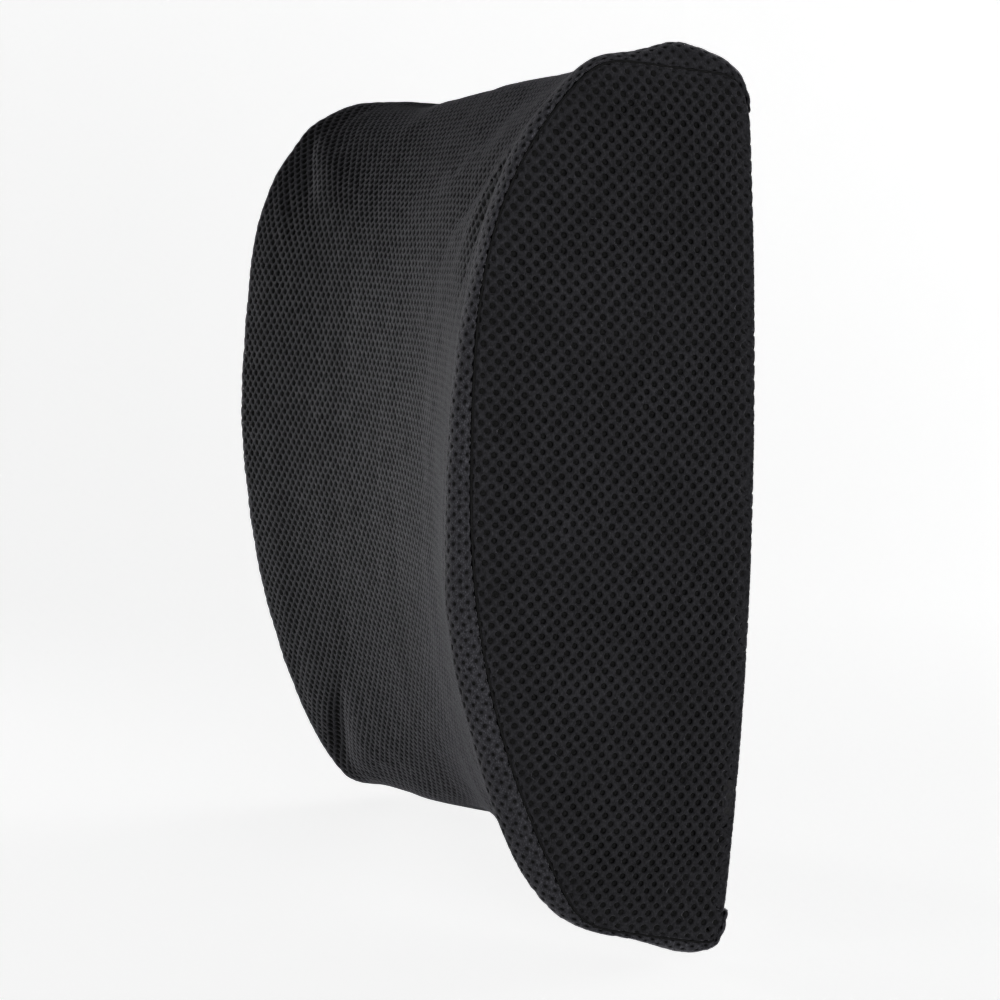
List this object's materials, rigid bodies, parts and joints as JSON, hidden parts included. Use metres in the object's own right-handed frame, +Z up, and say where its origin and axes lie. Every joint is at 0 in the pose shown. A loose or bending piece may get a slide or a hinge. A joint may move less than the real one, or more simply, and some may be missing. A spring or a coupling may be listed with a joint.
{
  "type": "lumbar support cushion",
  "caption": "Lumbar cushion with a D-shaped section, a hollowed front, a zipped spacer-mesh cover over a foam core, and an elastic back strap with a side-release buckle.",
  "frame": {"origin": "middle of the bounding box's underside, on the floor under the cushion", "axes": "+Z up, X across the cushion, -Y the way the hollowed front faces (towards the sitter), +Y towards the chair's back"},
  "size_m": [0.33, 0.1194, 0.3347],
  "materials": {
    "foam": "slow-recovery polyurethane foam, matt skin",
    "liner": "thin knit, matt",
    "spacer_mesh": "black knitted spacer mesh with round holes, matt with a fuzzy sheen at grazing angles",
    "zip_tape": "woven tape, matt",
    "zip_coil": "nylon coil, slight shine",
    "zip_metal": "black enamelled metal, satin",
    "webbing": "elastic webbing with lengthways ribs, matt",
    "buckle_plastic": "moulded acetal, fine matt texture"
  },
  "bodies": {
    "cushion": {"foam_core": "foam", "inner_liner": "liner", "wrap_panel": "spacer_mesh", "side_panel_right": "spacer_mesh", "side_panel_left": "spacer_mesh", "back_panel_upper": "spacer_mesh", "back_panel_lower": "spacer_mesh", "zip_tape_upper": "zip_tape", "zip_tape_lower": "zip_tape", "zip_coil_upper": "zip_coil", "zip_coil_lower": "zip_coil", "zip_stop_left": "zip_metal", "zip_stop_right": "zip_metal", "strap_left": "webbing", "strap_right": "webbing", "strap_anchor_left": "webbing", "strap_anchor_right": "webbing", "buckle_female": "buckle_plastic"},
    "slider": {"zip_slider": "zip_metal"},
    "pull": {"zip_pull": "zip_metal"},
    "buckle_tongue": {"buckle_male": "buckle_plastic"},
    "adjuster": {"strap_adjuster": "buckle_plastic"}
  },
  "joints": [
    {"name": "zip_slide", "type": "slide", "parent": "cushion", "child": "slider", "axis": [-1, 0, 0], "range_m": [0, 0.276]},
    {"name": "pull_swing", "type": "hinge", "parent": "slider", "child": "pull", "pos_m": [0.138, 0.05304, 0.06008], "axis": [0, 0, -1], "range_deg": [0, 170]},
    {"name": "buckle_release", "type": "slide", "parent": "cushion", "child": "buckle_tongue", "axis": [1, 0, 0], "range_m": [0, 0.026], "deforming": ["strap_right"]},
    {"name": "adjuster_slide", "type": "slide", "parent": "cushion", "child": "adjuster", "axis": [1, 0, 0], "range_m": [-0.02, 0.02], "deforming": ["strap_left"]}
  ]
}
